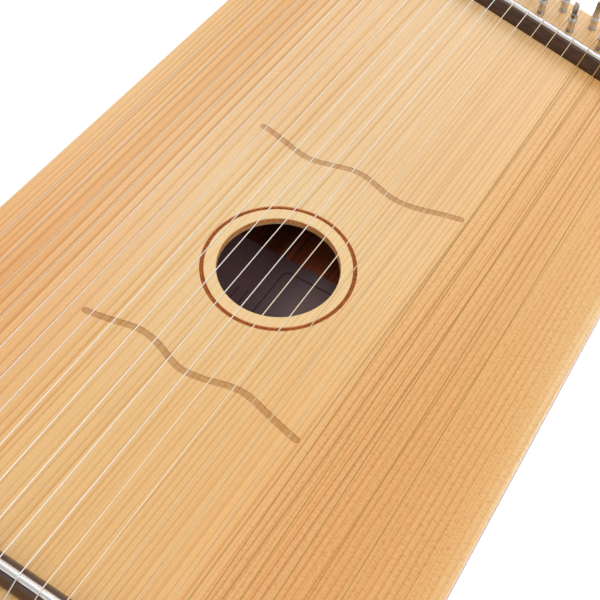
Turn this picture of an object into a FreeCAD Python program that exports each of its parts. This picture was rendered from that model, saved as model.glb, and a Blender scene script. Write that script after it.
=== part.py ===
import FreeCAD, Part
import os
import math
from FreeCAD import Vector as V

os.makedirs("parts", exist_ok=True)

# ---------------------------------------------------------------------------
# Tabletop zither: a shallow wooden sound box with 22 single strings that run
# from the hitch-pin end (-Y) to the slanted tuning-pin end (+Y).
# Frame: origin at the centre of the footprint's bounding rectangle, on the
# plane that the feet stand on. +Y along the strings, +X to the treble side,
# +Z up. Millimetres.
# ---------------------------------------------------------------------------

# ---- sound box -------------------------------------------------------------
BODY_W = 300.0          # across the strings
LEN_LEFT = 580.0        # long side, low strings
LEN_RIGHT = 500.0       # short side, high strings
CORNER_R = 6.0          # vertical corners of the box
FOOT_H = 5.0
BOX_D = 42.0            # back + rails + soundboard
TOP_T = 3.2
BACK_T = 3.0
RAIL_T = 8.0
TOP_EDGE_R = 2.4        # rounding of the soundboard's outer top edge
BACK_EDGE_R = 1.6
PIN_BLOCK_W = 42.0      # square to the slanted end
HITCH_BLOCK_W = 40.0

# ---- sound hole and its decoration ----------------------------------------
HOLE_X, HOLE_Y = -3.5, -55.0
HOLE_R = 32.5
HOLE_EDGE_R = 0.5
RING_R_IN, RING_R_OUT = 38.95, 41.2   # routed ring groove
RING_DEPTH = 1.2
WAVE_W = 3.6            # width of the two shallow wave lines
WAVE_DEPTH = 0.25
WAVE_FAR = [(-62.7, 81.5), (-58, 81.0), (-52, 79.6), (-44, 77.6), (-36, 75.55),
            (-29.5, 74.55), (-23, 74.9), (-16, 76.8), (-8, 79.2), (0, 80.75),
            (5, 80.6), (12, 78.9), (20, 76.3), (27, 74.7), (32, 74.5),
            (40, 75.4), (48, 77.6), (56, 80.0), (61, 81.2), (65.4, 82.2)]
WAVE_NEAR = [(-64.8, -77.3), (-60, -76.6), (-52, -75.05), (-44, -73.05), (-38, -71.8),
             (-32, -71.6), (-24, -73.0), (-16, -75.9), (-9, -78.4), (-4, -79.2),
             (1, -78.8), (8, -77.5), (16, -75.15), (22, -73.8), (28, -73.5),
             (36, -74.85), (44, -77.05), (52, -78.9), (57, -80.15), (61.5, -80.95)]
DOUBLER_R, DOUBLER_T = 50.0, 1.5     # ring glued under the soundboard at the hole

# ---- strings ---------------------------------------------------------------
N_STRINGS = 22
PITCH = 11.5
STRING_X0 = -126.8      # first (lowest) string
GAUGES = [0.65] * 5 + [0.60] * 5 + [0.55] * 6 + [0.50] * 6
STRING_H = 12.0         # string axis above the soundboard at the bridges
CLEAR = 0.03            # gap between a string and the piece that it bears on
LEVEL_R = 10.0          # bend in which the string levels out before its pin
WRAP_DEG = 325.0        # the string's own turn round the pin
COIL_LIFT = 0.10        # gap between that turn and the wound turns above it

# ---- bridges ---------------------------------------------------------------
ROD_R = 2.0
ROD_GROOVE_GAP = 0.02
BRIDGE_W, BRIDGE_TOP_W = 11.0, 7.0
HITCH_BRIDGE_Y = -255.0
PIN_BRIDGE_IN = 44.0    # square distance from the slanted edge to the rod
BRIDGE_MARGIN = 9.0     # bridge past the outer strings

# ---- hitch pins ------------------------------------------------------------
HITCH_Y = -277.0
HITCH_R = 1.25
HITCH_TOP, HITCH_BOTTOM = 5.0, -20.0   # above / below the soundboard's surface
HITCH_HOLE_GAP = 0.02
LOOP_Z = 2.2

# ---- tuning pins -----------------------------------------------------------
PIN_R = 2.5
PIN_HOLE_GAP = 0.05
ROW_IN = (12.0, 25.0)   # square distance of the two rows from the slanted edge
PIN_LEAVE_Z = (7.0, 8.0)  # height at which the string meets the pin, per row
PIN_SHANK_TOP = 5.6     # shank top above the string's height
PIN_HEAD = 9.0
PIN_SQ_BASE, PIN_SQ_TOP = 3.9, 3.4
PIN_DEEP = 27.0         # below the soundboard's surface
PIN_EYE_R = 0.7
COIL_TURNS = 4          # wound turns, each a ring beside the next
COIL_STEP = 0.96        # spacing of the turns, in wire diameters

# ---- feet and label --------------------------------------------------------
FOOT_R = 7.5
FOOT_XY = [(-130.0, -270.0), (130.0, -270.0), (-130.0, 258.0), (130.0, 190.0)]
LABEL = (-62.0, -38.0, 48.0, 33.0)   # x0, y0, x1, y1 from the hole's centre
LABEL_T = 0.2

# ---- derived ---------------------------------------------------------------
Z0 = FOOT_H
ZTOP = Z0 + BOX_D
Z_IN_BACK = Z0 + BACK_T
Z_IN_TOP = ZTOP - TOP_T
XL, XR = -BODY_W / 2, BODY_W / 2
DROP = LEN_LEFT - LEN_RIGHT
SLANT = math.atan2(-DROP, BODY_W)
COS_S = math.cos(SLANT)
# the sharp far corner loses this much length to its rounding
CORNER_LOSS = DROP * CORNER_R / BODY_W + CORNER_R / COS_S - CORNER_R
Y_NEAR = -(LEN_LEFT - CORNER_LOSS) / 2
Y_FAR_L = Y_NEAR + LEN_LEFT
Y_FAR_R = Y_NEAR + LEN_RIGHT


def y_far(x, inward=0.0):
    """Y of the slanted end, or of a line parallel to it, at x."""
    return Y_FAR_L - DROP * (x - XL) / BODY_W - inward / COS_S


def poly_prism(points, z0, z1):
    pts = [V(x, y, z0) for x, y in points]
    face = Part.Face(Part.makePolygon(pts + [pts[0]]))
    return face.extrude(V(0, 0, z1 - z0))


def outline(z0, z1):
    """The box's plan outline as a solid, with rounded vertical corners."""
    s = poly_prism([(XL, Y_NEAR), (XR, Y_NEAR), (XR, y_far(XR)), (XL, y_far(XL))], z0, z1)
    verticals = [e for e in s.Edges
                 if abs(e.Vertexes[0].X - e.Vertexes[1].X) < 1e-6
                 and abs(e.Vertexes[0].Y - e.Vertexes[1].Y) < 1e-6]
    return s.makeFillet(CORNER_R, verticals)


def edges_at_z(shape, z):
    return [e for e in shape.Edges
            if all(abs(v.Z - z) < 1e-6 for v in e.Vertexes)
            and abs(e.BoundBox.ZMax - z) < 1e-6 and abs(e.BoundBox.ZMin - z) < 1e-6]


def save(name, shapes):
    if not isinstance(shapes, (list, tuple)):
        shapes = [shapes]
    solids = []
    for s in shapes:
        solids += s.Solids
    for s in solids:
        if not s.isValid() or s.Volume <= 0:
            print("CHECK", name, "valid", s.isValid(), "volume", s.Volume)
    out = solids[0] if len(solids) == 1 else Part.makeCompound(solids)
    out.exportStep("parts/%s.step" % name)
    print("%-26s solids %2d volume %12.3f" % (name, len(solids), sum(s.Volume for s in solids)))


# ---- string and pin positions ----------------------------------------------
string_x = [STRING_X0 + PITCH * i for i in range(N_STRINGS)]
pins = []               # (x, y, row, string axis height at the pin, gauge)
for i, xs in enumerate(string_x):
    row = i % 2
    d = GAUGES[i]
    rw = PIN_R + CLEAR + d / 2
    xp = xs + rw
    pins.append((xp, y_far(xp, ROW_IN[row]), row, ZTOP + PIN_LEAVE_Z[row], d))


# ---- soundboard -------------------------------------------------------------
def wave_cutter(points):
    """A shallow pocket of constant width with round ends, along a smooth line."""
    pts = [V(HOLE_X + x, HOLE_Y + y, ZTOP - WAVE_DEPTH) for x, y in points]
    line = Part.BSplineCurve()
    line.interpolate(pts)
    n = 48
    left, right = [], []
    for i in range(n + 1):
        u = line.FirstParameter + (line.LastParameter - line.FirstParameter) * i / n
        p = line.value(u)
        t = line.tangent(u)[0]
        side = V(-t.y, t.x, 0).normalize() * (WAVE_W / 2)
        left.append(p + side)
        right.append(p - side)
    a, b = Part.BSplineCurve(), Part.BSplineCurve()
    a.interpolate(left)
    b.interpolate(right)
    p0, p1 = line.value(line.FirstParameter), line.value(line.LastParameter)
    t0 = line.tangent(line.FirstParameter)[0].normalize()
    t1 = line.tangent(line.LastParameter)[0].normalize()
    cap0 = Part.Arc(left[0], p0 - t0 * (WAVE_W / 2), right[0])
    cap1 = Part.Arc(left[-1], p1 + t1 * (WAVE_W / 2), right[-1])
    wire = Part.Wire(Part.__sortEdges__([a.toShape(), b.toShape(), cap0.toShape(), cap1.toShape()]))
    return Part.Face(wire).extrude(V(0, 0, WAVE_DEPTH + 2))


board = outline(Z_IN_TOP, ZTOP)
board = board.makeFillet(TOP_EDGE_R, edges_at_z(board, ZTOP))
hole_c = V(HOLE_X, HOLE_Y, 0)
board = board.cut(Part.makeCylinder(HOLE_R, 20, V(HOLE_X, HOLE_Y, ZTOP - 10)))
rim = [e for e in edges_at_z(board, ZTOP)
       if hasattr(e.Curve, "Radius") and abs(e.Curve.Radius - HOLE_R) < 1e-4]
board = board.makeFillet(HOLE_EDGE_R, rim)
ring = Part.makeCylinder(RING_R_OUT, RING_DEPTH + 1, V(HOLE_X, HOLE_Y, ZTOP - RING_DEPTH)).cut(
    Part.makeCylinder(RING_R_IN, RING_DEPTH + 3, V(HOLE_X, HOLE_Y, ZTOP - RING_DEPTH - 1)))
board = board.cut(ring)
board = board.cut(wave_cutter(WAVE_FAR)).cut(wave_cutter(WAVE_NEAR))
pin_holes = [Part.makeCylinder(PIN_R + PIN_HOLE_GAP, 60, V(x, y, ZTOP - 10)) for x, y, r, z, d in pins]
hitch_holes = [Part.makeCylinder(HITCH_R + HITCH_HOLE_GAP, 60, V(x, HITCH_Y, ZTOP - 10)) for x in string_x]
board = board.cut(Part.makeCompound(pin_holes + hitch_holes))
save("soundboard", board)

# ---- back -------------------------------------------------------------------
back = outline(Z0, Z_IN_BACK)
back = back.makeFillet(BACK_EDGE_R, edges_at_z(back, Z0))
save("back_plate", back)

# ---- side rails -------------------------------------------------------------
body = outline(Z_IN_BACK, Z_IN_TOP)
save("bass_side_rail", poly_prism(
    [(XL, Y_NEAR), (XL + RAIL_T, Y_NEAR), (XL + RAIL_T, y_far(XL + RAIL_T)), (XL, y_far(XL))],
    Z_IN_BACK, Z_IN_TOP).common(body))
save("treble_side_rail", poly_prism(
    [(XR - RAIL_T, Y_NEAR), (XR, Y_NEAR), (XR, y_far(XR)), (XR - RAIL_T, y_far(XR - RAIL_T))],
    Z_IN_BACK, Z_IN_TOP).common(body))

# ---- blocks -----------------------------------------------------------------
xa, xb = XL + RAIL_T, XR - RAIL_T
pin_block = poly_prism([(xa, y_far(xa)), (xb, y_far(xb)), (xb, y_far(xb, PIN_BLOCK_W)),
                        (xa, y_far(xa, PIN_BLOCK_W))], Z_IN_BACK, Z_IN_TOP)
pin_block = pin_block.cut(Part.makeCompound(
    [Part.makeCylinder(PIN_R + PIN_HOLE_GAP, PIN_DEEP + 3, V(x, y, ZTOP - PIN_DEEP - 3))
     for x, y, r, z, d in pins]))
save("tuning_pin_block", pin_block)
hitch_block = poly_prism([(xa, Y_NEAR), (xb, Y_NEAR), (xb, Y_NEAR + HITCH_BLOCK_W),
                          (xa, Y_NEAR + HITCH_BLOCK_W)], Z_IN_BACK, Z_IN_TOP)
hitch_block = hitch_block.cut(Part.makeCompound(
    [Part.makeCylinder(HITCH_R + HITCH_HOLE_GAP, 40, V(x, HITCH_Y, ZTOP + HITCH_BOTTOM))
     for x in string_x]))
save("hitch_pin_block", hitch_block)


# ---- braces and the ring under the hole --------------------------------------
def brace(y, z_glued, tall, wide, down):
    """A bar between the rails: full height in the middle, tapered to its ends."""
    s = -1.0 if down else 1.0
    end, run = tall * 0.35, 45.0
    prof = [(xa, z_glued), (xb, z_glued), (xb, z_glued + s * end), (xb - run, z_glued + s * tall),
            (xa + run, z_glued + s * tall), (xa, z_glued + s * end)]
    pts = [V(x, y - wide / 2, z) for x, z in prof]
    b = Part.Face(Part.makePolygon(pts + [pts[0]])).extrude(V(0, wide, 0))
    zlow = z_glued + s * tall
    crown = [e for e in b.Edges if all(abs(v.Z - zlow) < 1e-6 for v in e.Vertexes)
             and abs(e.Vertexes[0].Y - e.Vertexes[1].Y) < 1e-6]
    return b.makeFillet(wide * 0.35, crown)


save("soundboard_braces", [brace(y, Z_IN_TOP, 13.0, 9.0, True) for y in (-168.0, 58.0, 142.0)])
save("back_braces", [brace(y, Z_IN_BACK, 10.0, 10.0, False) for y in (-150.0, 60.0)])
doubler = Part.makeCylinder(DOUBLER_R, DOUBLER_T, V(HOLE_X, HOLE_Y, Z_IN_TOP - DOUBLER_T)).cut(
    Part.makeCylinder(HOLE_R, 10, V(HOLE_X, HOLE_Y, Z_IN_TOP - 5)))
save("sound_hole_doubler", doubler)


# ---- bridges: a hardwood bar with a steel rod let into its top ----------------
def bridge(length):
    """Bar and rod along X, centred on the origin, base at z 0."""
    rod_z = STRING_H - CLEAR - 0.3 - ROD_R
    pts = [(-BRIDGE_W / 2, 0), (BRIDGE_W / 2, 0), (BRIDGE_W / 2, rod_z * 0.35),
           (BRIDGE_TOP_W / 2, rod_z), (-BRIDGE_TOP_W / 2, rod_z), (-BRIDGE_W / 2, rod_z * 0.35)]
    p3 = [V(-length / 2, y, z) for y, z in pts]
    bar = Part.Face(Part.makePolygon(p3 + [p3[0]])).extrude(V(length, 0, 0))
    ends = [e for e in bar.Edges
            if abs(e.Vertexes[0].X - e.Vertexes[1].X) < 1e-6
            and abs(abs(e.Vertexes[0].Y) - BRIDGE_W / 2) < 1e-6
            and abs(abs(e.Vertexes[1].Y) - BRIDGE_W / 2) < 1e-6
            and abs(e.Vertexes[0].Z - e.Vertexes[1].Z) > 1]
    bar = bar.makeFillet(1.5, ends)
    rod = Part.makeCylinder(ROD_R, length - 6.0, V(-length / 2 + 3.0, 0, rod_z), V(1, 0, 0))
    rod = rod.makeChamfer(0.4, [e for e in rod.Edges if hasattr(e.Curve, "Radius")])
    groove = Part.makeCylinder(ROD_R + ROD_GROOVE_GAP, length - 5.9,
                               V(-length / 2 + 2.95, 0, rod_z), V(1, 0, 0))
    return bar.cut(groove), rod, rod_z


span = string_x[-1] - string_x[0] + 2 * BRIDGE_MARGIN
mid_x = (string_x[0] + string_x[-1]) / 2
bar, rod, ROD_Z = bridge(span)
for s in (bar, rod):
    s.translate(V(mid_x, HITCH_BRIDGE_Y, ZTOP))
save("hitch_end_bridge", bar)
save("hitch_end_bridge_rod", rod)
bar, rod, ROD_Z = bridge(span / COS_S)
for s in (bar, rod):
    s.rotate(V(0, 0, 0), V(0, 0, 1), math.degrees(SLANT))
    s.translate(V(mid_x, y_far(mid_x, PIN_BRIDGE_IN), ZTOP))
save("tuning_end_bridge", bar)
save("tuning_end_bridge_rod", rod)


# ---- hitch pins: driven round pins with a low bevelled head -------------------
def hitch_pin(x):
    r, top, bottom = HITCH_R, ZTOP + HITCH_TOP, ZTOP + HITCH_BOTTOM
    at = lambda z: V(x, HITCH_Y, z)
    p = Part.makeCone(r * 0.4, r, 2.2, at(bottom))
    p = p.fuse(Part.makeCylinder(r, top - 1.3 - bottom - 2.2, at(bottom + 2.2)))
    p = p.fuse(Part.makeCone(r, r + 0.55, 0.35, at(top - 1.3)))
    p = p.fuse(Part.makeCylinder(r + 0.55, 0.4, at(top - 0.95)))
    p = p.fuse(Part.makeCone(r + 0.55, r + 0.15, 0.35, at(top - 0.55)))
    p = p.fuse(Part.makeCone(r + 0.15, r - 0.6, 0.2, at(top - 0.2)))
    return p.removeSplitter()


save("hitch_pins", [hitch_pin(x) for x in string_x])


# ---- strings ------------------------------------------------------------------
def tangent_in(y0, z0, yc, zc, rho):
    """Line from (y0, z0) that touches the top of a circle: returns touch point and angle."""
    dy, dz = yc - y0, zc - z0
    dist = math.hypot(dy, dz)
    base = math.atan2(dz, dy)
    a = base + math.asin(rho / dist)
    length = math.sqrt(dist * dist - rho * rho)
    return y0 + length * math.cos(a), z0 + length * math.sin(a), a


def string(i):
    xs, d = string_x[i], GAUGES[i]
    r = d / 2
    xp, yp, row, zt, _ = pins[i]
    rw = PIN_R + CLEAR + r
    rho = ROD_R + CLEAR + r
    zr = ZTOP + ROD_Z
    loop_r = HITCH_R + 0.06 + r
    ys, zs = HITCH_Y + loop_r, ZTOP + LOOP_Z
    ty, tz, a = tangent_in(ys, zs, HITCH_BRIDGE_Y, zr, rho)
    yb = y_far(xs, PIN_BRIDGE_IN)
    # the span leaves the far rod at slope b and levels out before the pin
    dy, dz = yp - yb, zt + LEVEL_R - zr
    b = math.asin((rho + LEVEL_R) / math.hypot(dy, dz)) - math.atan2(dz, dy)
    P = lambda y, z: V(xs, y, z)
    e = [Part.makeLine(P(ys, zs), P(ty, tz))]
    h = a / 2
    e.append(Part.Arc(P(ty, tz), P(HITCH_BRIDGE_Y - rho * math.sin(h), zr + rho * math.cos(h)),
                      P(HITCH_BRIDGE_Y, zr + rho)).toShape())
    e.append(Part.makeLine(P(HITCH_BRIDGE_Y, zr + rho), P(yb, zr + rho)))
    h = b / 2
    fy, fz = yb + rho * math.sin(b), zr + rho * math.cos(b)
    e.append(Part.Arc(P(yb, zr + rho), P(yb + rho * math.sin(h), zr + rho * math.cos(h)),
                      P(fy, fz)).toShape())
    gy, gz = yp - LEVEL_R * math.sin(b), zt + LEVEL_R * (1 - math.cos(b))
    e.append(Part.makeLine(P(fy, fz), P(gy, gz)))
    e.append(Part.Arc(P(gy, gz), P(yp - LEVEL_R * math.sin(h), zt + LEVEL_R * (1 - math.cos(h))),
                      P(yp, zt)).toShape())
    # one flat turn round the pin, left side first, stopping short of itself
    q = [math.pi - math.radians(t) for t in (0.0, WRAP_DEG / 2, WRAP_DEG)]
    w = [V(xp + rw * math.cos(t), yp + rw * math.sin(t), zt) for t in q]
    e.append(Part.Arc(*w).toShape())
    path = Part.Wire(e)
    circle = Part.Wire(Part.makeCircle(r, P(ys, zs), V(0, math.cos(a), math.sin(a))))
    wire = path.makePipeShell([circle], True, False)
    loop = Part.makeTorus(loop_r, r, V(xs, HITCH_Y, zs), V(0, 0, 1))
    return wire.fuse(loop), b


slopes = []
for i in range(N_STRINGS):
    s, b = string(i)
    slopes.append(b)
    save("string_%02d" % (i + 1), s)


# ---- tuning pins ---------------------------------------------------------------
def tuning_pin(i):
    xp, yp, row, zt, d = pins[i]
    z_shank = zt + PIN_SHANK_TOP
    z_low = ZTOP - PIN_DEEP
    shank = Part.makeCylinder(PIN_R, z_shank - z_low, V(xp, yp, z_low))
    low = [e for e in shank.Edges if abs(e.BoundBox.ZMax - z_low) < 1e-6]
    shank = shank.makeChamfer(1.1, low)

    def square(side, z):
        h = side / 2
        p = [V(xp - h, yp - h, z), V(xp + h, yp - h, z), V(xp + h, yp + h, z), V(xp - h, yp + h, z)]
        return Part.makePolygon(p + [p[0]])

    head = Part.makeLoft([square(PIN_SQ_BASE, z_shank - 0.5), square(PIN_SQ_TOP, z_shank + PIN_HEAD)], True)
    tip = Part.makeCone(PIN_R - 0.05, PIN_R - 0.12, PIN_HEAD - 0.8, V(xp, yp, z_shank - 0.5)).fuse(
        Part.makeCone(PIN_R - 0.12, PIN_R - 1.0, 1.3, V(xp, yp, z_shank - 0.5 + PIN_HEAD - 0.8)))
    head = head.common(tip)
    pin = shank.fuse(head).removeSplitter()
    # eye for the wire, square to the string
    z_eye = zt + d + COIL_LIFT + (COIL_TURNS - 0.5) * d + PIN_EYE_R + 0.15
    pin = pin.cut(Part.makeCylinder(PIN_EYE_R, 12, V(xp - 6, yp, z_eye), V(1, 0, 0)))
    # the wound turns: they turn with the pin
    r = d / 2
    rc = PIN_R + 0.015 + r
    turns = [Part.makeTorus(rc, r, V(xp, yp, zt + d + COIL_LIFT + k * d * COIL_STEP), V(0, 0, 1))
             for k in range(COIL_TURNS)]
    coil = turns[0]
    for t in turns[1:]:
        coil = coil.fuse(t)
    return [pin, coil]


for i in range(N_STRINGS):
    save("tuning_pin_%02d" % (i + 1), tuning_pin(i))


# ---- label inside, on the back --------------------------------------------------
x0, y0, x1, y1 = LABEL
lab = poly_prism([(HOLE_X + x0, HOLE_Y + y0), (HOLE_X + x1, HOLE_Y + y0),
                  (HOLE_X + x1, HOLE_Y + y1), (HOLE_X + x0, HOLE_Y + y1)],
                 Z_IN_BACK, Z_IN_BACK + LABEL_T)
save("paper_label", lab)


# ---- feet ------------------------------------------------------------------------
def foot(x, y):
    f = Part.makeCone(FOOT_R - 0.8, FOOT_R, FOOT_H, V(x, y, 0))
    return f.makeFillet(1.0, [e for e in f.Edges if abs(e.BoundBox.ZMax) < 1e-6])


save("rubber_feet", [foot(x, y) for x, y in FOOT_XY])
print("files", len(os.listdir("parts")), "max slope deg", round(math.degrees(max(slopes)), 2))
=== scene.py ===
import bpy
import bmesh
import math
from mathutils import Matrix, Vector


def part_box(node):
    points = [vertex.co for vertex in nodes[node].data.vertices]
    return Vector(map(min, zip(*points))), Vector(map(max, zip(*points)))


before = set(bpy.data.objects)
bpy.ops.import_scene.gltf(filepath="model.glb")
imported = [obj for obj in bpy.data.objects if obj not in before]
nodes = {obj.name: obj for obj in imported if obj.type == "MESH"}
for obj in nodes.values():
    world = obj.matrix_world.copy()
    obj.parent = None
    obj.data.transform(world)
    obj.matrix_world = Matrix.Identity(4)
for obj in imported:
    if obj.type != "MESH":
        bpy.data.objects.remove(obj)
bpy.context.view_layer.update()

# ---------------------------------------------------------------- places
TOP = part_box("soundboard")[1].z            # upper face of the soundboard
TOP_MM = TOP * 1000.0
BACK_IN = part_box("back_plate")[1].z * 1000.0
_dl, _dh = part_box("sound_hole_doubler")
HX = (_dl.x + _dh.x) / 2                   # sound hole's centre
HY = (_dl.y + _dh.y) / 2
HXMM, HYMM = HX * 1000.0, HY * 1000.0


# ---------------------------------------------------------------- node helpers
class G:
    """A small builder for shader node graphs."""

    def __init__(self, name):
        self.mat = bpy.data.materials.new(name)
        self.mat.use_nodes = True
        self.t = self.mat.node_tree
        self.t.nodes.clear()
        self.out = self.t.nodes.new("ShaderNodeOutputMaterial")
        self.bsdf = self.t.nodes.new("ShaderNodeBsdfPrincipled")
        self.t.links.new(self.bsdf.outputs[0], self.out.inputs[0])

    def put(self, socket, v):
        if hasattr(v, "is_linked") or hasattr(v, "links"):
            self.t.links.new(v, socket)
        elif v is not None:
            if isinstance(v, (tuple, list)) and len(v) == 3 and len(socket.default_value) == 4:
                v = tuple(v) + (1.0,)
            socket.default_value = v

    def m(self, op, a, b=None, c=None, clamp=False):
        n = self.t.nodes.new("ShaderNodeMath")
        n.operation = op
        n.use_clamp = clamp
        self.put(n.inputs[0], a)
        if b is not None:
            self.put(n.inputs[1], b)
        if c is not None:
            self.put(n.inputs[2], c)
        return n.outputs[0]

    def step(self, v, lo, hi, a=0.0, b=1.0):
        n = self.t.nodes.new("ShaderNodeMapRange")
        n.interpolation_type = "SMOOTHSTEP"
        self.put(n.inputs["Value"], v)
        n.inputs["From Min"].default_value = lo
        n.inputs["From Max"].default_value = hi
        n.inputs["To Min"].default_value = a
        n.inputs["To Max"].default_value = b
        return n.outputs[0]

    def xyz(self, x, y, z=0.0):
        n = self.t.nodes.new("ShaderNodeCombineXYZ")
        self.put(n.inputs[0], x)
        self.put(n.inputs[1], y)
        self.put(n.inputs[2], z)
        return n.outputs[0]

    def noise(self, vec, scale=1.0, detail=2.0, rough=0.5, dist=0.0):
        n = self.t.nodes.new("ShaderNodeTexNoise")
        self.put(n.inputs["Vector"], vec)
        n.inputs["Scale"].default_value = scale
        n.inputs["Detail"].default_value = detail
        n.inputs["Roughness"].default_value = rough
        n.inputs["Distortion"].default_value = dist
        return n.outputs[0]

    def white(self, w):
        n = self.t.nodes.new("ShaderNodeTexWhiteNoise")
        n.noise_dimensions = "1D"
        self.put(n.inputs["W"], w)
        return n.outputs["Value"]

    def mix(self, f, a, b, mode="MIX"):
        n = self.t.nodes.new("ShaderNodeMix")
        n.data_type = "RGBA"
        n.blend_type = mode
        n.clamp_factor = True
        self.put(n.inputs["Factor"], f)
        self.put(n.inputs[6], a)
        self.put(n.inputs[7], b)
        return n.outputs[2]

    def ramp(self, v, stops, interp="LINEAR"):
        n = self.t.nodes.new("ShaderNodeValToRGB")
        n.color_ramp.interpolation = interp
        e = n.color_ramp.elements
        while len(e) > 1:
            e.remove(e[0])
        e[0].position, e[0].color = stops[0][0], tuple(stops[0][1]) + (1.0,)
        for p, c in stops[1:]:
            k = e.new(p)
            k.color = tuple(c) + (1.0,)
        self.put(n.inputs[0], v)
        return n.outputs[0]

    def bump(self, height, strength=0.2, dist=0.0002, normal=None):
        n = self.t.nodes.new("ShaderNodeBump")
        n.inputs["Strength"].default_value = strength
        n.inputs["Distance"].default_value = dist
        self.put(n.inputs["Height"], height)
        if normal is not None:
            self.put(n.inputs["Normal"], normal)
        return n.outputs[0]

    def coords(self):
        """Row-frame position in millimetres: x, y, z."""
        tc = self.t.nodes.new("ShaderNodeTexCoord")
        s = self.t.nodes.new("ShaderNodeSeparateXYZ")
        self.t.links.new(tc.outputs["Object"], s.inputs[0])
        return [self.m("MULTIPLY", s.outputs[i], 1000.0) for i in range(3)]

    def set(self, **kw):
        for k, v in kw.items():
            self.put(self.bsdf.inputs[k.replace("_", " ")], v)


def lin(r, g, b):
    f = lambda c: c / 12.92 if c <= 0.04045 else ((c + 0.055) / 1.055) ** 2.4
    return (f(r / 255.0), f(g / 255.0), f(b / 255.0))


def give(names, mat):
    for n in names:
        o = nodes[n]
        o.data.materials.clear()
        o.data.materials.append(mat)


# ---------------------------------------------------------------- soundboard
def spruce_top():
    g = G("spruce_top")
    x, y, z = g.coords()
    x = g.m("SUBTRACT", x, HXMM)
    y = g.m("SUBTRACT", y, HYMM)
    # the glued strips: grain direction differs a little from strip to strip
    right = g.step(x, 66.8, 67.6)
    far_r = g.step(x, 114.6, 115.6)
    left = g.step(x, -87.0, -88.6)
    tilt = g.m("MULTIPLY", g.step(x, -68.0, -34.0), -0.020)
    bend = g.noise(g.xyz(g.m("MULTIPLY", x, 0.012), g.m("MULTIPLY", y, 0.0030)), 1.0, 2.0, 0.45)
    xs = g.m("ADD", x, g.m("MULTIPLY", g.m("SUBTRACT", bend, 0.5), 5.0))
    xs = g.m("ADD", xs, g.m("MULTIPLY", y, tilt))
    # growth rings: their spacing in mm changes across the board
    p = None
    for a, b, gap in ((-160.0, -118.0, 3.4), (-118.0, -60.0, 6.0), (-60.0, -40.0, 5.0), (-40.0, 0.0, 4.2),
                      (0.0, 67.0, 3.2), (67.0, 115.0, 3.7), (115.0, 165.0, 3.0)):
        part = g.m("DIVIDE", g.m("MINIMUM", g.m("MAXIMUM", g.m("SUBTRACT", xs, a), 0.0), b - a), gap)
        p = part if p is None else g.m("ADD", p, part)
    p = g.m("ADD", p, g.m("MULTIPLY", right, 0.37))
    p = g.m("ADD", p, g.m("MULTIPLY", far_r, 0.41))
    jit = g.noise(g.xyz(g.m("MULTIPLY", xs, 0.13), 0.0, 3.7), 1.0, 2.0, 0.5)
    wide = g.m("MULTIPLY", g.step(xs, -46.0, -84.0), g.step(xs, -146.0, -118.0, 0.35, 1.0))
    p = g.m("ADD", p, g.m("MULTIPLY", g.m("SUBTRACT", jit, 0.5), g.m("SUBTRACT", 1.8, g.m("MULTIPLY", wide, 1.1))))
    ring = g.m("FLOOR", p)
    saw = g.m("FRACT", p)
    late = g.m("MULTIPLY", g.step(saw, 0.36, 0.88), g.step(saw, 1.0, 0.93))
    line = g.m("MULTIPLY", g.step(saw, 0.70, 0.88), g.step(saw, 1.0, 0.94))
    pick = g.white(ring)
    strong = g.m("POWER", pick, 1.2)
    fade = g.noise(g.xyz(g.m("MULTIPLY", ring, 0.7), g.m("MULTIPLY", y, 0.006)), 1.0, 2.0)
    amount = g.m("MULTIPLY", g.m("ADD", g.m("MULTIPLY", strong, 0.55), 0.45), g.step(fade, 0.2, 0.6, 0.60, 1.0))
    # thinner lines between the rings
    q = g.m("MULTIPLY", p, 2.0)
    q = g.m("ADD", q, g.m("MULTIPLY", g.white(g.m("ADD", ring, 0.37)), 0.8))
    sub = g.m("FRACT", q)
    sub_a = g.m("POWER", g.white(g.m("ADD", g.m("FLOOR", q), 0.71)), 2.0)
    sub = g.m("MULTIPLY", g.m("MULTIPLY", g.step(sub, 0.55, 0.84), g.step(sub, 1.0, 0.90)), sub_a)
    sub = g.m("MULTIPLY", sub, g.m("SUBTRACT", 1.0, g.m("MULTIPLY", wide, 0.45)))
    # how strong the grain is across the board
    gs = g.ramp(g.m("DIVIDE", g.m("ADD", x, 150.0), 304.0), [
        (0.000, (0.50,) * 3), (0.060, (0.74,) * 3), (0.090, (0.95,) * 3), (0.110, (1.10,) * 3), (0.195, (1.10,) * 3),
        (0.215, (0.76,) * 3), (0.290, (0.76,) * 3), (0.310, (0.94,) * 3), (0.350, (0.90,) * 3), (0.375, (0.58,) * 3),
        (0.480, (0.60,) * 3), (0.520, (0.72,) * 3), (0.7120, (0.66,) * 3), (0.7180, (0.80,) * 3), (0.800, (0.98,) * 3),
        (0.8690, (0.98,) * 3), (0.8740, (0.62,) * 3), (1.000, (0.46,) * 3)])
    gs = g.m("MULTIPLY", gs, 1.25)
    amount = g.m("MULTIPLY", amount, gs)
    # fibres along the grain and silk across it
    fibre = g.noise(g.xyz(g.m("MULTIPLY", xs, 5.0), g.m("MULTIPLY", y, 0.09)), 1.0, 4.0, 0.6)
    fine = g.noise(g.xyz(g.m("MULTIPLY", xs, 14.0), g.m("MULTIPLY", y, 0.8)), 1.0, 2.0, 0.6)
    silk = g.noise(g.xyz(g.m("MULTIPLY", xs, 0.42), g.m("MULTIPLY", y, 1.25)), 1.0, 3.0, 0.6, 0.3)
    silk_amt = g.m("ADD", g.m("MULTIPLY", right, 0.80), 0.56)
    band = g.noise(g.xyz(g.m("MULTIPLY", xs, 0.13), g.m("MULTIPLY", y, 0.0012), 5.1), 1.0, 2.0, 0.55)
    broad = g.noise(g.xyz(g.m("MULTIPLY", x, 0.012), g.m("MULTIPLY", y, 0.008), 2.2), 1.0, 2.0)
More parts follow.
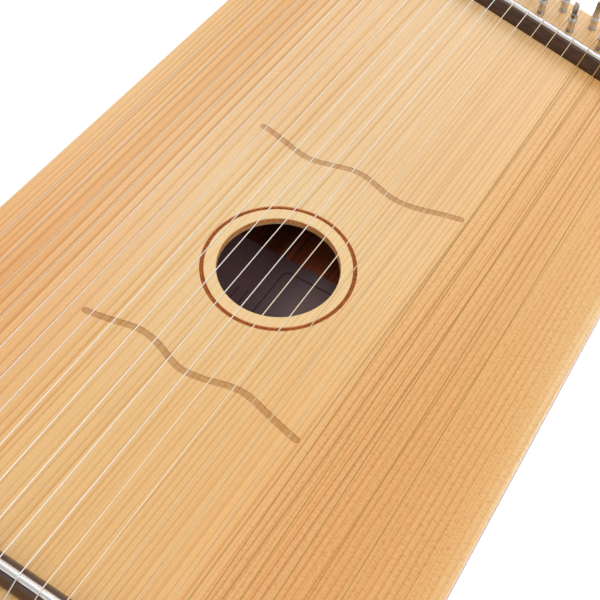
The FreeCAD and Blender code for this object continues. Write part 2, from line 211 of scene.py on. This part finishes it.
    # tone across the board
    u = g.m("DIVIDE", g.m("ADD", x, 150.0), 304.0)
    base = g.ramp(u, [
        (0.000, lin(236, 204, 156)), (0.012, lin(232, 192, 138)), (0.066, lin(231, 186, 128)), (0.130, lin(232, 186, 129)),
        (0.197, lin(237, 199, 148)), (0.263, lin(232, 196, 147)), (0.330, lin(234, 203, 152)), (0.420, lin(232, 204, 155)),
        (0.592, lin(233, 201, 147)), (0.658, lin(235, 199, 143)), (0.700, lin(236, 199, 142)), (0.7160, lin(235, 196, 139)),
        (0.7175, lin(232, 187, 126)), (0.757, lin(231, 184, 120)), (0.789, lin(229, 180, 116)), (0.855, lin(226, 175, 109)),
        (0.8700, lin(226, 175, 108)), (0.8720, lin(227, 178, 111)), (0.940, lin(226, 178, 112)), (0.978, lin(227, 184, 120)),
        (0.991, lin(234, 200, 146)), (1.000, lin(240, 210, 164))])
    base = g.mix(1.0, base, (1.0, 1.012, 1.05), "MULTIPLY")
    near = g.m("MULTIPLY", g.step(y, 60.0, -130.0), g.m("SUBTRACT", 1.0, g.m("MULTIPLY", right, 0.28)))
    base = g.mix(near, base, g.mix(1.0, base, (0.955, 0.81, 0.61), "MULTIPLY"))
    far = g.m("MULTIPLY", g.step(y, 25.0, 105.0), g.m("MULTIPLY", g.step(x, -76.0, -48.0), g.step(x, 66.9, 63.5)))
    base = g.mix(far, base, g.mix(1.0, base, (0.98, 0.915, 0.885), "MULTIPLY"))
    bandm = g.m("MULTIPLY", g.step(band, 0.42, 0.66), g.m("ADD", g.m("MULTIPLY", left, 0.40), 0.22))
    col = g.mix(bandm, base, g.mix(1.0, base, (0.93, 0.84, 0.74), "MULTIPLY"))
    col = g.mix(g.m("MULTIPLY", late, g.m("MULTIPLY", amount, g.m("ADD", g.m("MULTIPLY", wide, 0.38), 0.62))), col,
                g.mix(1.0, base, g.mix(wide, (0.92, 0.80, 0.64), (0.88, 0.71, 0.50)), "MULTIPLY"))
    col = g.mix(g.m("MULTIPLY", line, g.m("MULTIPLY", amount, 0.92)), col,
                g.mix(1.0, base, (0.75, 0.54, 0.31), "MULTIPLY"))
    col = g.mix(g.m("MULTIPLY", sub, g.m("MULTIPLY", gs, 0.70)), col,
                g.mix(1.0, base, (0.82, 0.61, 0.40), "MULTIPLY"))
    # a few dark olive streaks along the grain at listed places, three of them on the strip joints
    for at, w, s in ((67.2, 0.50, 0.42), (-88.0, 0.3, 0.16), (115.0, 0.25, 0.14), (-106.0, 0.25, 0.26),
                     (-94.5, 0.22, 0.24), (46.0, 0.22, 0.16), (78.6, 0.34, 0.34), (92.0, 0.34, 0.34), (-13.5, 0.2, 0.10)):
        dx = g.m("ABSOLUTE", g.m("SUBTRACT", xs, at))
        col = g.mix(g.m("MULTIPLY", g.step(dx, w * 1.6, w * 0.4), s), col, lin(132, 94, 44))
    col = g.mix(g.m("MULTIPLY", g.step(fibre, 0.42, 0.80), 0.22), col, g.mix(1.0, col, (0.86, 0.74, 0.60), "MULTIPLY"))
    col = g.mix(g.m("MULTIPLY", g.step(fine, 0.45, 0.75), 0.10), col, g.mix(1.0, col, (0.80, 0.66, 0.50), "MULTIPLY"))
    col = g.mix(g.m("MULTIPLY", g.m("MULTIPLY", g.step(silk, 0.48, 0.68), silk_amt), 0.75), col,
                g.mix(1.0, col, g.mix(right, (0.93, 0.80, 0.66), (0.89, 0.75, 0.60)), "MULTIPLY"))
    col = g.mix(g.m("MULTIPLY", g.m("MULTIPLY", g.step(silk, 0.46, 0.32), silk_amt), 0.60), col,
                g.mix(1.0, col, (1.05, 1.06, 1.08), "MULTIPLY"))
    col = g.mix(g.step(broad, 0.35, 0.7, 0.0, 0.16), col, g.mix(1.0, col, (0.97, 0.90, 0.82), "MULTIPLY"))
    # ring between hole and groove: cut clean, a touch paler and yellower
    r = g.m("SQRT", g.m("ADD", g.m("MULTIPLY", x, x), g.m("MULTIPLY", y, y)))
    ringm = g.m("MULTIPLY", g.step(r, 39.2, 38.7), 0.45)
    col = g.mix(ringm, col, lin(237, 207, 152))
    # the two shallow wave lines: burnt, with the grain showing through
    below = g.m("SUBTRACT", TOP_MM, z)
    inner = g.m("MULTIPLY", g.m("LESS_THAN", g.m("ABSOLUTE", x), 75.0),
                g.m("MULTIPLY", g.m("LESS_THAN", g.m("ABSOLUTE", y), 95.0), g.m("GREATER_THAN", r, 50.0)))
    wave = g.m("MULTIPLY", inner, g.step(below, 0.03, 0.12))
    wv = g.noise(g.xyz(g.m("MULTIPLY", x, 1.3), g.m("MULTIPLY", y, 0.5), 9.0), 1.0, 3.0, 0.6)
    scorch = g.m("MULTIPLY", wave, g.step(wv, 0.30, 0.70, 0.72, 1.0))
    col = g.mix(scorch, col, g.mix(1.0, col, (0.66, 0.56, 0.53), "MULTIPLY"))
    # cut walls of groove and hole: end grain, darker and redder; in the groove the walls get painted light and the
    # floor painted shade
    ang = g.m("ARCTAN2", y, x)
    tick = g.noise(g.xyz(g.m("MULTIPLY", g.m("COSINE", ang), 42.0), g.m("MULTIPLY", g.m("SINE", ang), 42.0),
                         g.m("MULTIPLY", z, 0.12)), 1.0, 3.0, 0.65)
    in_ring = g.m("MULTIPLY", g.m("GREATER_THAN", r, 38.6), g.m("LESS_THAN", r, 41.5))
    groove = g.m("MULTIPLY", in_ring, g.step(below, 0.02, 0.10))
    # groove walls: end-grain orange made extra bright, painted light
    groove_grain_lit_and_shaded = g.mix(g.step(tick, 0.35, 0.68), (0.98, 0.52, 0.24), (0.80, 0.36, 0.14))
    # groove floor, deeper than about 1 mm: near-black brown, painted shade
    groove_grain_lit_and_shaded = g.mix(g.step(below, 0.90, 1.16), groove_grain_lit_and_shaded, g.mix(g.step(tick, 0.35, 0.66), (0.45, 0.145, 0.038), (0.27, 0.082, 0.022)))
    col = g.mix(groove, col, groove_grain_lit_and_shaded)
    hole = g.m("MULTIPLY", g.m("LESS_THAN", r, 33.2), g.step(below, 0.35, 0.65))
    hcol = g.mix(g.step(tick, 0.38, 0.66), lin(248, 162, 88), lin(200, 112, 54))
    hcol = g.mix(g.step(below, 1.6, 3.0), hcol, lin(238, 152, 88))
    col = g.mix(hole, col, hcol)
    # small darkening round the pin holes' mouths comes from the geometry itself
    under = g.step(below, 3.0, 3.15)
    col = g.mix(under, col, lin(206, 170, 120))
    h = g.m("ADD", g.m("MULTIPLY", late, g.m("MULTIPLY", amount, 0.34)), g.m("MULTIPLY", fibre, 0.35))
    h = g.m("ADD", h, g.m("MULTIPLY", silk, 0.18))
    b = g.bump(h, 0.22, 0.00022)
    cut = g.m("MAXIMUM", g.m("MAXIMUM", groove, hole), g.m("MULTIPLY", wave, 0.7))
    rough = g.m("ADD", g.m("MULTIPLY", fibre, 0.12), 0.33)
    rough = g.m("ADD", rough, g.m("MULTIPLY", cut, 0.30))
    g.set(Base_Color=col, Roughness=rough, Normal=b, Coat_Weight=g.m("MULTIPLY", g.m("SUBTRACT", 1.0, cut), 0.28),
          Coat_Roughness=0.22, Specular_IOR_Level=g.m("SUBTRACT", 0.38, g.m("MULTIPLY", cut, 0.30)))
    return g.mat


# ---------------------------------------------------------------- dark woods
def brown_wood(name, light, dark, pore, along="y", scale=1.0, rough=0.36, coat=0.35, inner=False):
    """Open-pored reddish-brown wood with its grain along one axis."""
    g = G(name)
    x, y, z = g.coords()
    a, b, c = {"y": (y, x, z), "x": (x, y, z)}[along]
    warp = g.noise(g.xyz(g.m("MULTIPLY", a, 0.006), g.m("MULTIPLY", b, 0.05), g.m("MULTIPLY", c, 0.05)), 1.0, 2.0)
    w = g.m("MULTIPLY", g.m("SUBTRACT", warp, 0.5), 9.0)
    fig = g.noise(g.xyz(g.m("MULTIPLY", a, 0.010 * scale), g.m("MULTIPLY", g.m("ADD", b, w), 0.42 * scale),
                        g.m("MULTIPLY", g.m("ADD", c, w), 0.42 * scale)), 1.0, 4.0, 0.6)
    rib = g.noise(g.xyz(g.m("MULTIPLY", a, 0.03), g.m("MULTIPLY", b, 0.10), g.m("MULTIPLY", c, 0.10)), 1.0, 2.0)
    pores = g.noise(g.xyz(g.m("MULTIPLY", a, 0.22), g.m("MULTIPLY", b, 4.2), g.m("MULTIPLY", c, 4.2)), 1.0, 2.0, 0.55)
    pm = g.step(pores, 0.58, 0.70)
    col = g.mix(g.step(fig, 0.30, 0.70), dark, light)
    col = g.mix(g.step(rib, 0.35, 0.70, 0.0, 0.35), col, g.mix(1.0, col, (0.72, 0.66, 0.62), "MULTIPLY"))
    col = g.mix(g.m("MULTIPLY", pm, 0.70), col, pore)
    if inner:
        # the back plate's inner face: made lighter overall, and darker left of the hole's centre where the soundboard
        # shades it (painted shade)
        face = g.m("MULTIPLY", g.m("GREATER_THAN", z, BACK_IN - 0.6), g.m("LESS_THAN", z, BACK_IN + 0.4))
        painted_board_shade = g.ramp(g.m("DIVIDE", g.m("ADD", g.m("SUBTRACT", x, HXMM), 60.0), 120.0), [
            (0.0, (0.45,) * 3), (0.30, (0.46,) * 3), (0.42, (0.95,) * 3), (0.50, (1.0,) * 3), (1.0, (1.0,) * 3)])
        col = g.mix(face, col, g.mix(1.0, g.mix(1.0, col, (2.0, 2.2, 2.1), "MULTIPLY"), painted_board_shade, "MULTIPLY"))
    h = g.m("SUBTRACT", g.m("MULTIPLY", fig, 0.3), g.m("MULTIPLY", pm, 0.8))
    g.set(Base_Color=col, Roughness=g.m("ADD", g.m("MULTIPLY", pm, 0.22), rough), Normal=g.bump(h, 0.25, 0.00018),
          Coat_Weight=coat, Coat_Roughness=0.2)
    return g.mat


def raw_spruce(name):
    g = G(name)
    x, y, z = g.coords()
    r = g.noise(g.xyz(g.m("MULTIPLY", x, 0.02), g.m("MULTIPLY", y, 0.9), g.m("MULTIPLY", z, 0.5)), 1.0, 4.0, 0.6)
    f = g.noise(g.xyz(g.m("MULTIPLY", x, 0.2), g.m("MULTIPLY", y, 5.0), g.m("MULTIPLY", z, 5.0)), 1.0, 3.0, 0.6)
    col = g.mix(g.step(r, 0.35, 0.65), lin(222, 188, 138), lin(190, 142, 88))
    col = g.mix(g.step(f, 0.45, 0.8, 0.0, 0.4), col, lin(166, 118, 70))
    g.set(Base_Color=col, Roughness=0.72, Normal=g.bump(f, 0.3, 0.0002))
    return g.mat


# ---------------------------------------------------------------- metal
def metal(name, base, rough, streak_axis, dirt=0.25, thread=False):
    g = G(name)
    x, y, z = g.coords()
    s = {"y": (0.05, 9.0, 9.0), "x": (0.05, 9.0, 9.0), "z": (4.0, 4.0, 0.4)}[streak_axis]
    if streak_axis == "y":
        v = g.xyz(g.m("MULTIPLY", x, s[1]), g.m("MULTIPLY", y, s[0]), g.m("MULTIPLY", z, s[2]))
    else:
        v = g.xyz(g.m("MULTIPLY", x, s[0]), g.m("MULTIPLY", y, s[1]), g.m("MULTIPLY", z, s[2]))
    n = g.noise(v, 1.0, 3.0, 0.6)
    spots = g.noise(g.xyz(x, y, z), 0.5, 3.0, 0.6)
    col = g.mix(g.m("MULTIPLY", g.step(spots, 0.45, 0.75), dirt), base, g.mix(1.0, base, (0.74, 0.68, 0.60), "MULTIPLY"))
    rg = g.m("ADD", g.m("MULTIPLY", n, 0.16), rough)
    h = g.m("MULTIPLY", n, 0.3)
    normal = g.bump(h, 0.12, 0.00005)
    if thread:
        # fine thread on the part that goes into the wood
        t = g.m("SUBTRACT", TOP_MM + 3.2, z)
        turn = g.m("ABSOLUTE", g.m("SUBTRACT", g.m("FRACT", g.m("MULTIPLY", z, 1.7)), 0.5))
        mask = g.step(t, 0.0, 0.3)
        normal = g.bump(g.m("MULTIPLY", turn, mask), 1.0, 0.00035, normal)
        # dark in the thread's valleys: painted shade
        col = g.mix(g.m("MULTIPLY", g.m("MULTIPLY", g.step(turn, 0.18, 0.0), mask), 0.55), col, (0.10, 0.09, 0.08))
    g.set(Base_Color=col, Metallic=1.0, Roughness=rg, Normal=normal)
    return g.mat


def rubber():
    g = G("black_rubber")
    x, y, z = g.coords()
    n = g.noise(g.xyz(x, y, z), 1.6, 4.0, 0.7)
    g.set(Base_Color=g.mix(g.step(n, 0.4, 0.7), (0.018, 0.018, 0.019), (0.045, 0.043, 0.042)),
          Roughness=g.m("ADD", g.m("MULTIPLY", n, 0.2), 0.62), Normal=g.bump(n, 0.35, 0.0002))
    return g.mat


def label():
    """Plain paper label: a thin frame line with round corners and a few ruled lines, no lettering."""
    g = G("label_paper")
    x, y, z = g.coords()
    x = g.m("SUBTRACT", x, HXMM)
    y = g.m("SUBTRACT", y, HYMM)
    fib = g.noise(g.xyz(x, y, 0.0), 2.2, 4.0, 0.65)
    blot = g.noise(g.xyz(x, y, 4.0), 0.06, 2.0)
    # the paper's pale colour is darkened to grey-violet: painted shade of the box's inside
    col = g.mix(g.step(fib, 0.35, 0.7), lin(131, 108, 114), lin(119, 96, 102))
    col = g.mix(g.step(blot, 0.4, 0.7, 0.0, 0.3), col, lin(117, 92, 95))
    # darker where the board shades it
    shade = g.ramp(g.m("DIVIDE", g.m("ADD", x, 60.0), 100.0), [
        (0.00, (1.0, 0.82, 0.74)), (0.16, (1.0, 0.80, 0.72)), (0.30, (0.60, 0.46, 0.45)), (0.405, (0.44, 0.30, 0.30)),
        (0.59, (0.60, 0.56, 0.56)), (0.64, (0.72, 0.72, 0.73)), (0.70, (0.93, 0.93, 0.80)), (1.00, (0.95, 0.95, 0.84))])
    col = g.mix(1.0, col, shade, "MULTIPLY")
    cx, cy, hw, hh, rr = 19.0, -5.0, 29.0, 30.0, 4.0
    qx = g.m("MAXIMUM", g.m("SUBTRACT", g.m("ABSOLUTE", g.m("SUBTRACT", x, cx)), hw - rr), 0.0)
    qy = g.m("MAXIMUM", g.m("SUBTRACT", g.m("ABSOLUTE", g.m("SUBTRACT", y, cy)), hh - rr), 0.0)
    d = g.m("ABSOLUTE", g.m("SUBTRACT", g.m("SQRT", g.m("ADD", g.m("MULTIPLY", qx, qx), g.m("MULTIPLY", qy, qy))), rr))
    ink = g.step(d, 0.62, 0.30)
    for at in (-26.0, -20.0):
        # two upright ruled lines beside the frame
        dx = g.m("ABSOLUTE", g.m("SUBTRACT", x, at))
        span = g.m("MULTIPLY", g.step(y, -34.0, -33.6), g.step(y, 2.0, 1.6))
        ink = g.m("MAXIMUM", ink, g.m("MULTIPLY", g.step(dx, 0.55, 0.25), span))
    col = g.mix(g.m("MULTIPLY", ink, 0.82), col, lin(38, 8, 10))
    g.set(Base_Color=col, Roughness=0.75, Normal=g.bump(fib, 0.15, 0.0001))
    return g.mat


MAHOGANY = brown_wood("mahogany_body", lin(122, 58, 36), lin(74, 30, 19), lin(38, 14, 9), "y", inner=True)
BLOCKS = brown_wood("hardwood_block", lin(124, 62, 40), lin(80, 35, 22), lin(42, 17, 11), "x")
BRIDGES = brown_wood("dark_hardwood", lin(82, 47, 33), lin(44, 24, 17), lin(20, 11, 8), "x", 1.3, 0.40, 0.2)
INSIDE = raw_spruce("spruce_inside")
ROD = metal("steel_rod", (0.80, 0.80, 0.79), 0.16, "x", 0.12)
PIN = metal("nickel_pin", (0.70, 0.68, 0.65), 0.22, "z", 0.30, True)
HITCH = metal("nickel_hitch", (0.72, 0.70, 0.66), 0.24, "z", 0.25)
# string wires: STEEL and BRASS are the wires' own tones; the paler copies are painted highlight, the darker brass is
# painted shade, and the dim warm steel is painted reflection of the wood
STEEL = metal("string_steel", (0.80, 0.77, 0.74), 0.30, "y", 0.06)
STEEL_PAINTED_HIGHLIGHT = metal("string_white_steel", (0.86, 0.84, 0.81), 0.30, "y", 0.05)
STEEL_PAINTED_WOOD_REFLECTION = metal("string_low_steel", (0.66, 0.56, 0.45), 0.30, "y", 0.08)
BRASS_PAINTED_HIGHLIGHT = metal("string_pale_brass", (0.84, 0.74, 0.58), 0.30, "y", 0.06)
BRASS = metal("string_brass", (0.70, 0.54, 0.33), 0.32, "y", 0.08)
BRASS_PAINTED_SHADE = metal("string_dark_brass", (0.50, 0.295, 0.085), 0.36, "y", 0.10)

give(["soundboard"], spruce_top())
give(["back_plate", "bass_side_rail", "treble_side_rail"], MAHOGANY)
give(["tuning_pin_block", "hitch_pin_block"], BLOCKS)
give(["hitch_end_bridge", "tuning_end_bridge"], BRIDGES)
give(["soundboard_braces", "back_braces", "sound_hole_doubler"], INSIDE)
give(["hitch_end_bridge_rod", "tuning_end_bridge_rod"], ROD)
give(["hitch_pins"], HITCH)
give(["paper_label"], label())
give(["rubber_feet"], rubber())
# strings 1-4 carry painted reflection of the wood, 8-14 painted highlight, 18-22 painted shade
give(["string_%02d" % i for i in range(1, 5)], STEEL_PAINTED_WOOD_REFLECTION)
give(["string_%02d" % i for i in range(5, 8)], STEEL)
give(["string_%02d" % i for i in range(8, 13)], STEEL_PAINTED_HIGHLIGHT)
give(["string_%02d" % i for i in range(13, 15)], BRASS_PAINTED_HIGHLIGHT)
give(["string_%02d" % i for i in range(15, 18)], BRASS)
give(["string_%02d" % i for i in range(18, 23)], BRASS_PAINTED_SHADE)
give([n for n in nodes if n.startswith("tuning_pin_") and n != "tuning_pin_block"], PIN)

# ---------------------------------------------------------------- stage
floor_mat = G("floor_pale")
fx, fy, fz = floor_mat.coords()
fn = floor_mat.noise(floor_mat.xyz(fx, fy, 0.0), 0.004, 2.0)
floor_mat.set(Base_Color=floor_mat.mix(fn, (0.93, 0.93, 0.93), (0.91, 0.91, 0.91)), Roughness=0.9,
              Specular_IOR_Level=0.1, Emission_Color=(1.0, 1.0, 1.0), Emission_Strength=0.5)
bm = bmesh.new()
bmesh.ops.create_grid(bm, x_segments=2, y_segments=2, size=8.0)
me = bpy.data.meshes.new("floor")
bm.to_mesh(me)
bm.free()
floor = bpy.data.objects.new("floor", me)
bpy.context.scene.collection.objects.link(floor)
floor.location = (0, 0, -0.0002)
me.materials.append(floor_mat.mat)

world = bpy.data.worlds.new("studio")
bpy.context.scene.world = world
world.use_nodes = True
bg = world.node_tree.nodes["Background"]
bg.inputs[0].default_value = (1.0, 0.99, 0.98, 1.0)
wl = world.node_tree
seen = wl.nodes.new("ShaderNodeLightPath")
power = wl.nodes.new("ShaderNodeMapRange")
power.inputs["To Min"].default_value = 0.62
power.inputs["To Max"].default_value = 1.0
wl.links.new(seen.outputs["Is Camera Ray"], power.inputs["Value"])
wl.links.new(power.outputs[0], bg.inputs[1])


def softbox(name, at, aim, sx, sy, power, colour=(1, 1, 1)):
    d = bpy.data.lights.new(name, "AREA")
    d.shape = "RECTANGLE"
    d.size, d.size_y = sx, sy
    d.energy = power
    d.color = colour
    o = bpy.data.objects.new(name, d)
    bpy.context.scene.collection.objects.link(o)
    o.location = at
    o.rotation_mode = "QUATERNION"
    o.rotation_quaternion = (Vector(aim) - Vector(at)).to_track_quat("-Z", "Y")
    return o


softbox("key_left", (-1.5, 0.5, 1.5), (0, 0, 0.03), 1.8, 1.4, 9.0, (1.0, 0.985, 0.96))
softbox("back_far", (0.2, 1.9, 1.3), (0, 0, 0.03), 2.2, 1.0, 11.0)
softbox("fill_right", (1.7, -0.6, 1.2), (0, 0, 0.03), 1.2, 1.2, 8.0)
softbox("overhead", (0.1, 0.0, 1.9), (0, 0, 0.03), 1.6, 1.6, 9.0)

# ---------------------------------------------------------------- camera
AZ, EL, ROLL = math.radians(28.409), math.radians(53.937), math.radians(4.3465)
back = Vector((math.sin(AZ) * math.cos(EL), -math.cos(AZ) * math.cos(EL), math.sin(EL)))
right_v = Vector((math.cos(AZ), math.sin(AZ), 0.0))
up_v = back.cross(right_v)
r2 = right_v * math.cos(ROLL) + up_v * math.sin(ROLL)
u2 = -right_v * math.sin(ROLL) + up_v * math.cos(ROLL)
cam = bpy.data.cameras.new("camera")
cam_o = bpy.data.objects.new("camera", cam)
bpy.context.scene.collection.objects.link(cam_o)
rot = Matrix((r2, u2, back)).transposed().to_4x4()
cam_o.matrix_world = Matrix.Translation(Vector((HX, HY, TOP)) + Vector((0.16045, -0.27040, 0.40265))) @ rot
cam.sensor_width = 36.0
cam.lens = 981.44 / 600.0 * 36.0
cam.clip_start = 0.01
bpy.context.scene.camera = cam_o
bpy.context.scene.view_settings.view_transform = "Standard"
